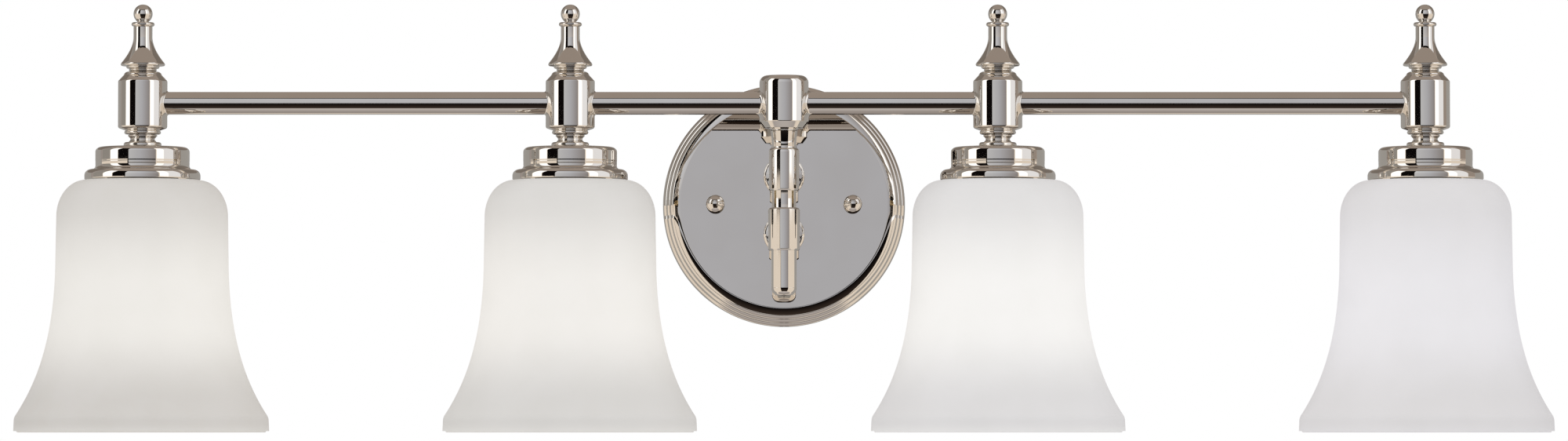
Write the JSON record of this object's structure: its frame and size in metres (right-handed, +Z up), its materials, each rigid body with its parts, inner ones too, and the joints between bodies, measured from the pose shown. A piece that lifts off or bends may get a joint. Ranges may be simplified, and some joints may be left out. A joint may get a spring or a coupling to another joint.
{
  "type": "vanity light bar",
  "caption": "Wall-mounted vanity light bar: a round stepped canopy and post carry a horizontal tube with turned finials above upside-down bell shades in opal glass.",
  "frame": {"origin": "centre of the wall bracket's back face, on the wall and at the canopy's centre", "axes": "+X along the bar, to the right as seen from the room; +Y into the wall; +Z up"},
  "size_m": [0.8392, 0.1793, 0.2335],
  "materials": {
    "polished_nickel": "mirror-polished nickel plate, slightly warm",
    "opal_glass": "white cased opal glass with a soft satin face",
    "bulb_glass": "frosted white lamp glass",
    "bulb_brass": "rolled brass screw cap",
    "ring_brass": "plain brass ring",
    "socket_phenolic": "black moulded phenolic",
    "zinc_steel": "zinc-plated steel",
    "ground_green": "green-dyed steel"
  },
  "bodies": {
    "wall_mount": {"wall_bracket": "zinc_steel", "ground_screw": "ground_green", "mounting_stud_left": "zinc_steel", "mounting_stud_right": "zinc_steel", "stud_locknut_left": "zinc_steel", "stud_locknut_right": "zinc_steel"},
    "fixture": {"canopy": "polished_nickel", "arm_flange_upper": "polished_nickel", "arm_flange_lower": "polished_nickel", "arm_upper": "polished_nickel", "arm_lower": "polished_nickel", "arm_locknut_upper": "zinc_steel", "arm_locknut_lower": "zinc_steel", "post_sleeve_upper": "polished_nickel", "post_sleeve_lower": "polished_nickel", "post": "polished_nickel", "center_hub": "polished_nickel", "bar_tube_1": "polished_nickel", "bar_tube_2": "polished_nickel", "bar_tube_3": "polished_nickel", "bar_tube_4": "polished_nickel", "hub_1": "polished_nickel", "hub_2": "polished_nickel", "hub_3": "polished_nickel", "hub_4": "polished_nickel", "neck_1": "polished_nickel", "neck_2": "polished_nickel", "neck_3": "polished_nickel", "neck_4": "polished_nickel", "cup_1": "polished_nickel", "cup_2": "polished_nickel", "cup_3": "polished_nickel", "cup_4": "polished_nickel", "socket_1": "socket_phenolic", "socket_2": "socket_phenolic", "socket_3": "socket_phenolic", "socket_4": "socket_phenolic"},
    "cap_nut_left": {"cap_nut_left": "polished_nickel"},
    "cap_nut_right": {"cap_nut_right": "polished_nickel"},
    "finial_1": {"finial_1": "polished_nickel"},
    "shade_1": {"shade_1": "opal_glass"},
    "shade_ring_1": {"shade_ring_1": "ring_brass"},
    "bulb_1": {"bulb_glass_1": "bulb_glass", "bulb_base_1": "bulb_brass"},
    "finial_2": {"finial_2": "polished_nickel"},
    "shade_2": {"shade_2": "opal_glass"},
    "shade_ring_2": {"shade_ring_2": "ring_brass"},
    "bulb_2": {"bulb_glass_2": "bulb_glass", "bulb_base_2": "bulb_brass"},
    "finial_3": {"finial_3": "polished_nickel"},
    "shade_3": {"shade_3": "opal_glass"},
    "shade_ring_3": {"shade_ring_3": "ring_brass"},
    "bulb_3": {"bulb_glass_3": "bulb_glass", "bulb_base_3": "bulb_brass"},
    "finial_4": {"finial_4": "polished_nickel"},
    "shade_4": {"shade_4": "opal_glass"},
    "shade_ring_4": {"shade_ring_4": "ring_brass"},
    "bulb_4": {"bulb_glass_4": "bulb_glass", "bulb_base_4": "bulb_brass"}
  },
  "joints": [
    {"name": "canopy_off_wall", "type": "slide", "parent": "wall_mount", "child": "fixture", "axis": [0, -1, 0], "range_m": [0, 0.03]},
    {"name": "cap_nut_left_off", "type": "slide", "parent": "fixture", "child": "cap_nut_left", "axis": [0, -1, 0], "range_m": [0, 0.016]},
    {"name": "cap_nut_right_off", "type": "slide", "parent": "fixture", "child": "cap_nut_right", "axis": [0, -1, 0], "range_m": [0, 0.016]},
    {"name": "finial_1_off", "type": "slide", "parent": "fixture", "child": "finial_1", "axis": [0, 0, 1], "range_m": [0, 0.02]},
    {"name": "shade_1_lower", "type": "slide", "parent": "fixture", "child": "shade_1", "axis": [0, 0, -1], "range_m": [0, 0.01]},
    {"name": "shade_ring_1_turn", "type": "hinge", "parent": "shade_1", "child": "shade_ring_1", "pos_m": [-0.35025, -0.11, 0.0042], "axis": [0, 0, -1], "range_deg": [0, 1444]},
    {"name": "bulb_1_out", "type": "slide", "parent": "fixture", "child": "bulb_1", "axis": [0, 0, -1], "range_m": [0, 0.155]},
    {"name": "finial_2_off", "type": "slide", "parent": "fixture", "child": "finial_2", "axis": [0, 0, 1], "range_m": [0, 0.02]},
    {"name": "shade_2_lower", "type": "slide", "parent": "fixture", "child": "shade_2", "axis": [0, 0, -1], "range_m": [0, 0.01]},
    {"name": "shade_ring_2_turn", "type": "hinge", "parent": "shade_2", "child": "shade_ring_2", "pos_m": [-0.11675, -0.11, 0.0042], "axis": [0, 0, -1], "range_deg": [0, 1444]},
    {"name": "bulb_2_out", "type": "slide", "parent": "fixture", "child": "bulb_2", "axis": [0, 0, -1], "range_m": [0, 0.155]},
    {"name": "finial_3_off", "type": "slide", "parent": "fixture", "child": "finial_3", "axis": [0, 0, 1], "range_m": [0, 0.02]},
    {"name": "shade_3_lower", "type": "slide", "parent": "fixture", "child": "shade_3", "axis": [0, 0, -1], "range_m": [0, 0.01]},
    {"name": "shade_ring_3_turn", "type": "hinge", "parent": "shade_3", "child": "shade_ring_3", "pos_m": [0.11675, -0.11, 0.0042], "axis": [0, 0, -1], "range_deg": [0, 1444]},
    {"name": "bulb_3_out", "type": "slide", "parent": "fixture", "child": "bulb_3", "axis": [0, 0, -1], "range_m": [0, 0.155]},
    {"name": "finial_4_off", "type": "slide", "parent": "fixture", "child": "finial_4", "axis": [0, 0, 1], "range_m": [0, 0.02]},
    {"name": "shade_4_lower", "type": "slide", "parent": "fixture", "child": "shade_4", "axis": [0, 0, -1], "range_m": [0, 0.01]},
    {"name": "shade_ring_4_turn", "type": "hinge", "parent": "shade_4", "child": "shade_ring_4", "pos_m": [0.35025, -0.11, 0.0042], "axis": [0, 0, -1], "range_deg": [0, 1444]},
    {"name": "bulb_4_out", "type": "slide", "parent": "fixture", "child": "bulb_4", "axis": [0, 0, -1], "range_m": [0, 0.155]}
  ],
  "couplings": [
    {"joint": "shade_ring_1_turn", "follows": "shade_1_lower", "rad_per_m": 2513.3},
    {"joint": "shade_ring_2_turn", "follows": "shade_2_lower", "rad_per_m": 2513.3},
    {"joint": "shade_ring_3_turn", "follows": "shade_3_lower", "rad_per_m": 2513.3},
    {"joint": "shade_ring_4_turn", "follows": "shade_4_lower", "rad_per_m": 2513.3}
  ]
}
